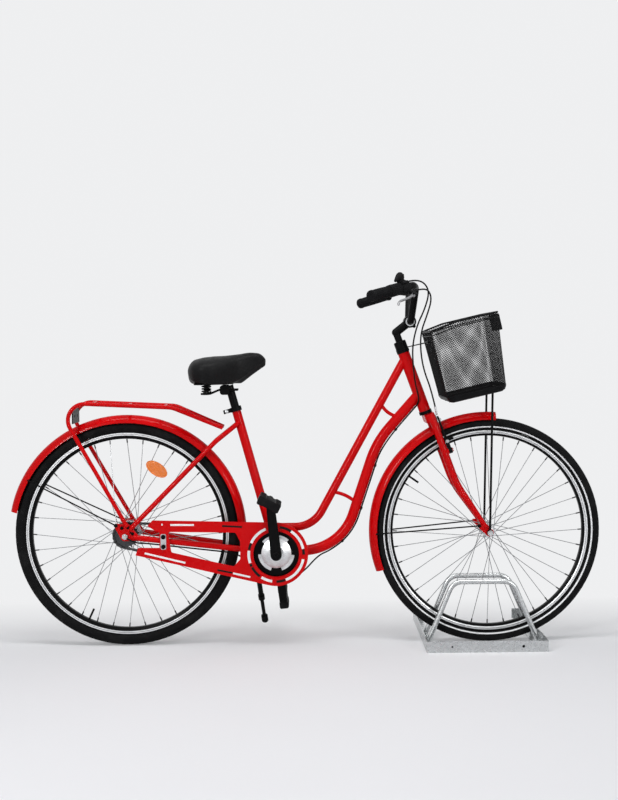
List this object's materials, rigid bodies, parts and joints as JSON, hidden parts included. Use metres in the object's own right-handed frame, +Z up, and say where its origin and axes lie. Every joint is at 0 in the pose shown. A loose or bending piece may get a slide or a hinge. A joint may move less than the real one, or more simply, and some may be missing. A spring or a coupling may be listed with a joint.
{
  "type": "bicycle on stand",
  "caption": "City bicycle with a step-through frame, rear rack and front basket, held by its front wheel between the hoops of a low floor stand",
  "frame": {"origin": "middle of the whole object on the floor", "axes": "+X the way the bicycle faces, +Y to the rider's left, +Z up"},
  "size_m": [1.8286, 0.628, 1.1306],
  "materials": {
    "frame_paint": "gloss",
    "mudguard_paint": "gloss",
    "black_metal": "satin",
    "steel": "satin",
    "tyre": "matt",
    "alloy": "satin",
    "bright_steel": "bright",
    "guard_paint": "gloss",
    "black_plastic": "matt",
    "cable": "satin",
    "saddle_skin": "satin",
    "basket_mesh": "satin",
    "amber": "gloss",
    "lamp": "gloss",
    "galvanised": "satin"
  },
  "bodies": {
    "stand": {"stand_base": "galvanised", "stand_hoops": "galvanised"},
    "frame": {"head_tube": "frame_paint", "seat_tube": "frame_paint", "bottom_bracket_shell": "frame_paint", "upper_tube": "frame_paint", "lower_tube": "frame_paint", "rear_triangle": "frame_paint", "bearing_cups": "black_metal", "seat_clamp": "black_metal", "rear_axle": "steel", "rear_rack": "frame_paint", "rack_plate": "black_metal", "rear_mudguard": "mudguard_paint", "rear_mudguard_stays": "black_metal", "chain_guard": "guard_paint", "chain_guard_bracket": "steel", "gear_cable": "cable", "chain": "bright_steel"},
    "steering": {"fork": "frame_paint", "headset_locknut": "black_metal", "stem": "black_metal", "handlebar": "black_metal", "grips": "black_plastic", "control_clamps": "black_plastic", "basket": "basket_mesh", "basket_rods": "black_metal", "basket_bracket": "black_metal", "basket_reflector": "lamp", "front_mudguard": "mudguard_paint", "front_mudguard_stays": "black_metal", "front_axle": "steel", "brake_cable": "cable", "gear_cable_loop": "cable"},
    "front_wheel": {"front_tyre": "tyre", "front_rim": "alloy", "front_spokes": "bright_steel", "front_hub": "alloy"},
    "rear_wheel": {"rear_tyre": "tyre", "rear_rim": "alloy", "rear_spokes": "bright_steel", "rear_hub": "alloy", "spoke_reflector": "amber"},
    "sprocket": {"rear_sprocket": "bright_steel"},
    "crank": {"crank_spindle": "steel", "cranks": "black_metal", "chainring": "black_metal", "chainring_disc": "alloy"},
    "right_pedal": {"right_pedal": "black_plastic"},
    "left_pedal": {"left_pedal": "black_plastic"},
    "brake_lever": {"brake_lever": "alloy"},
    "twist_grip": {"twist_grip": "black_plastic"},
    "left_brake_arm": {"left_brake_arm": "black_metal"},
    "right_brake_arm": {"right_brake_arm": "black_metal"},
    "kickstand": {"kickstand_leg": "black_metal"},
    "seat": {"seat_post": "black_metal", "saddle_rails": "black_metal", "saddle_springs": "black_metal", "saddle_base": "black_plastic", "saddle_cover": "saddle_skin"}
  },
  "joints": [
    {"name": "lift_off", "type": "slide", "parent": "stand", "child": "frame", "axis": [0, 0, 1], "range_m": [0, 0.25]},
    {"name": "steering", "type": "hinge", "parent": "frame", "child": "steering", "pos_m": [0.33788, 0, 0.81885], "axis": [-0.342, 0, 0.9397], "range_deg": [-5.2, 5.2], "deforming": ["gear_cable_loop"]},
    {"name": "front_wheel_spin", "type": "hinge", "parent": "steering", "child": "front_wheel", "pos_m": [0.5653, 0, 0.349], "axis": [0, 1, 0], "continuous": true},
    {"name": "rear_wheel_spin", "type": "hinge", "parent": "frame", "child": "rear_wheel", "pos_m": [-0.5527, 0, 0.349], "axis": [0, 1, 0], "continuous": true},
    {"name": "crank_spin", "type": "hinge", "parent": "frame", "child": "crank", "pos_m": [-0.09132, 0, 0.29], "axis": [0, 1, 0], "continuous": true, "deforming": ["chain"]},
    {"name": "sprocket_spin", "type": "hinge", "parent": "frame", "child": "sprocket", "pos_m": [-0.5527, -0.044, 0.349], "axis": [0, 1, 0], "continuous": true},
    {"name": "right_pedal_spin", "type": "hinge", "parent": "crank", "child": "right_pedal", "pos_m": [-0.10909, -0.137, 0.45907], "axis": [0, 1, 0], "continuous": true},
    {"name": "left_pedal_spin", "type": "hinge", "parent": "crank", "child": "left_pedal", "pos_m": [-0.07355, 0.137, 0.12093], "axis": [0, 1, 0], "continuous": true},
    {"name": "brake_squeeze", "type": "hinge", "parent": "steering", "child": "brake_lever", "pos_m": [0.31915, -0.20059, 1.07329], "axis": [-0.3949, 0.5573, -0.7304], "range_deg": [0, 12], "stiffness_Nm_per_rad": 0.6, "springref_deg": -11.46, "deforming": ["brake_cable"]},
    {"name": "left_brake_close", "type": "hinge", "parent": "steering", "child": "left_brake_arm", "pos_m": [0.445, 0.054, 0.60349], "axis": [0.9397, 0, 0.342], "range_deg": [0, 3]},
    {"name": "right_brake_close", "type": "hinge", "parent": "steering", "child": "right_brake_arm", "pos_m": [0.445, -0.054, 0.60349], "axis": [-0.9397, 0, -0.342], "range_deg": [0, 3]},
    {"name": "gear_twist", "type": "hinge", "parent": "steering", "child": "twist_grip", "pos_m": [0.19153, -0.3, 1.06644], "axis": [0.6715, 0.7176, 0.1845], "range_deg": [-45, 45]},
    {"name": "kickstand_fold", "type": "hinge", "parent": "frame", "child": "kickstand", "pos_m": [-0.1587, 0.045, 0.255], "axis": [0.0921, 0.8293, 0.5512], "range_deg": [0, 94]},
    {"name": "seat_height", "type": "slide", "parent": "frame", "child": "seat", "axis": [-0.2656, 0, 0.9641], "range_m": [-0.03, 0.08]}
  ],
  "couplings": [
    {"joint": "sprocket_spin", "follows": "crank_spin", "ratio": 2},
    {"joint": "left_brake_close", "follows": "brake_squeeze", "ratio": 0.25},
    {"joint": "right_brake_close", "follows": "brake_squeeze", "ratio": 0.25}
  ]
}
